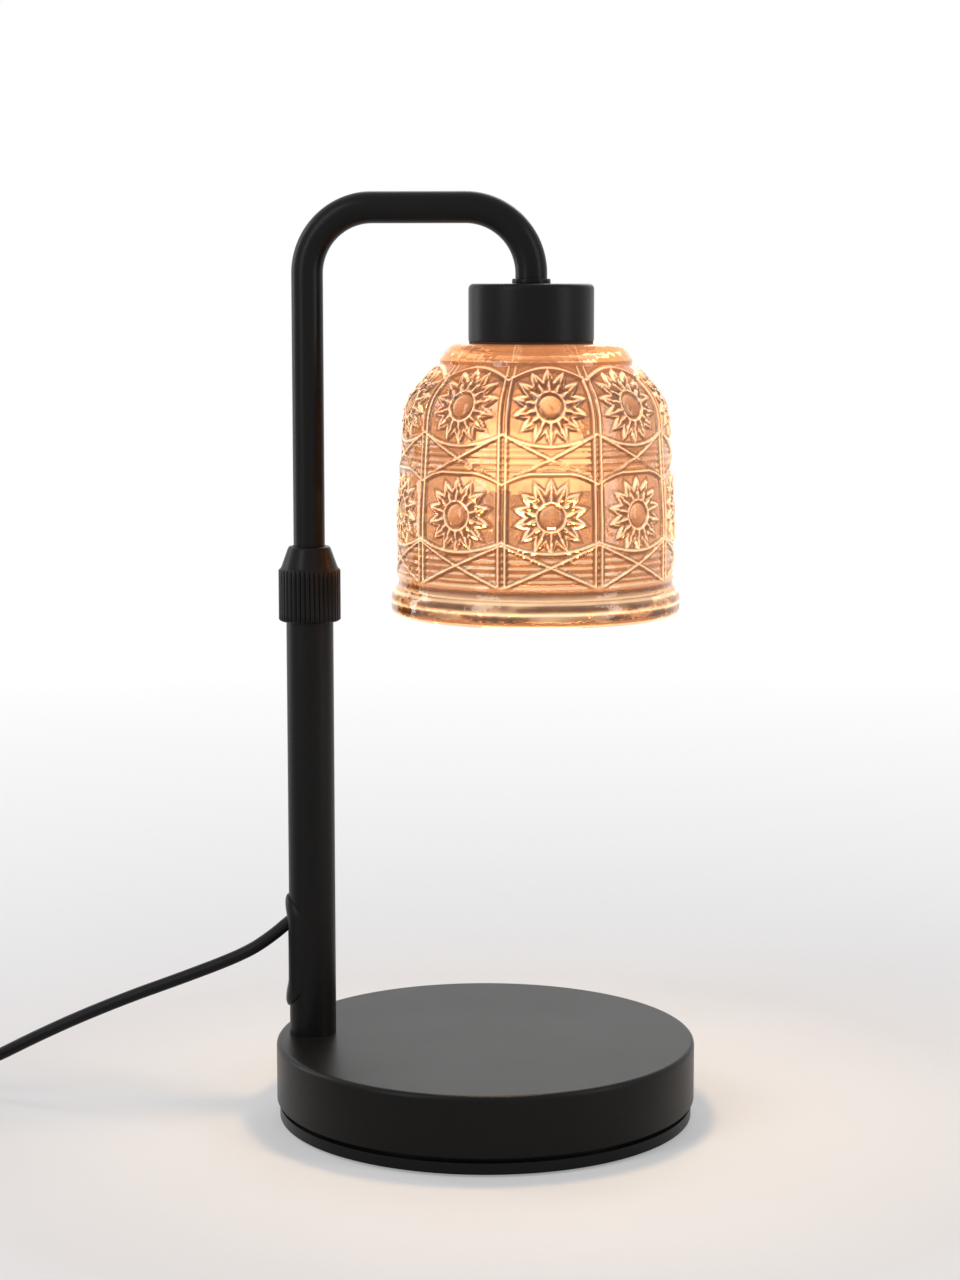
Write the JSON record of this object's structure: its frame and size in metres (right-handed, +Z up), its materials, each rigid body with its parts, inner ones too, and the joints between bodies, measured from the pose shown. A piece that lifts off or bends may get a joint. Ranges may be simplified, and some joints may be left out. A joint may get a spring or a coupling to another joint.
{
  "type": "candle warmer lamp",
  "caption": "Candle warmer lamp: round weighted base, telescoping post with ridged locking collar, bent swing arm, pressed-glass shade over a halogen bulb, mains cord with dimmer.",
  "frame": {"origin": "centre of the base on the surface that it stands on", "axes": "+Z up; +X from the post towards the shade"},
  "size_m": [0.3785, 0.2164, 0.3288],
  "materials": {
    "pad_rubber": "matte",
    "plate_plastic": "satin",
    "plated_steel": "satin",
    "cast_weight": "rough cast",
    "black_powder": "fine satin powder coat",
    "black_arm": "satin",
    "black_collar": "satin, ridged",
    "black_moulding": "satin",
    "nylon": "matte",
    "cord_jacket": "smooth satin",
    "board": "satin",
    "brass": "satin",
    "aluminium_cup": "turned",
    "ceramic": "glazed ceramic",
    "gasket": "matte",
    "shade_glass": "pressed clear glass",
    "reflector_coating": "metallised",
    "bulb_glass": "clear"
  },
  "bodies": {
    "base": {"foot_pad": "pad_rubber", "base_plate": "plate_plastic", "base_screws": "plated_steel", "base_weight": "cast_weight", "base_shell": "black_powder", "post_bolt": "plated_steel", "post_washer": "plated_steel", "post_foot": "plated_steel", "post_tube": "black_powder", "slot_bezel": "black_moulding", "collet": "nylon", "riser_lead": "cord_jacket", "cord_stretch": "cord_jacket", "cord_link": "cord_jacket", "cord_coil": "cord_jacket", "coil_tie": "cord_jacket", "dimmer_top": "black_moulding", "dimmer_bottom": "black_moulding", "dimmer_screws": "plated_steel", "dimmer_board": "board", "dimmer_pot": "board", "dimmer_reliefs": "cord_jacket", "plug_body": "black_moulding", "plug_relief": "cord_jacket", "plug_blades": "brass"},
    "collar": {"height_collar": "black_collar"},
    "slider": {"guide_bush": "nylon"},
    "arm": {"arm_tube": "black_arm", "tube_clip": "plated_steel", "entry_ring": "black_arm", "arm_nipple": "plated_steel", "holder_cup": "black_powder", "nipple_spacer": "plated_steel", "lock_nut": "plated_steel", "socket_cup": "aluminium_cup", "socket_insert": "ceramic", "socket_contacts": "brass", "arm_lead": "cord_jacket", "shade_gasket": "gasket", "glass_shade": "shade_glass", "shade_ring": "plated_steel"},
    "bulb": {"bulb_pins": "brass", "bulb_base": "ceramic", "bulb_reflector": "reflector_coating", "bulb_capsule": "bulb_glass", "bulb_lens": "bulb_glass"},
    "wheel": {"dimmer_wheel": "black_moulding"}
  },
  "joints": [
    {"name": "height_slide", "type": "slide", "parent": "base", "child": "slider", "axis": [0, 0, 1], "range_m": [-0.042, 0.036], "deforming": ["riser_lead"]},
    {"name": "arm_swing", "type": "hinge", "parent": "slider", "child": "arm", "pos_m": [-0.0626, 0, 0.2], "axis": [0, 0, 1], "range_deg": [-100, 100]},
    {"name": "collar_turn", "type": "hinge", "parent": "base", "child": "collar", "pos_m": [-0.0626, 0, 0.19], "axis": [0, 0, 1], "range_deg": [0, 270]},
    {"name": "bulb_twist", "type": "hinge", "parent": "arm", "child": "bulb", "pos_m": [0.0159, 0, 0.26], "axis": [0, 0, 1], "range_deg": [0, 20]},
    {"name": "dimmer_turn", "type": "hinge", "parent": "base", "child": "wheel", "pos_m": [-0.29, -0.069, 0.011], "axis": [1, 0, 0], "range_deg": [-135, 135]}
  ]
}
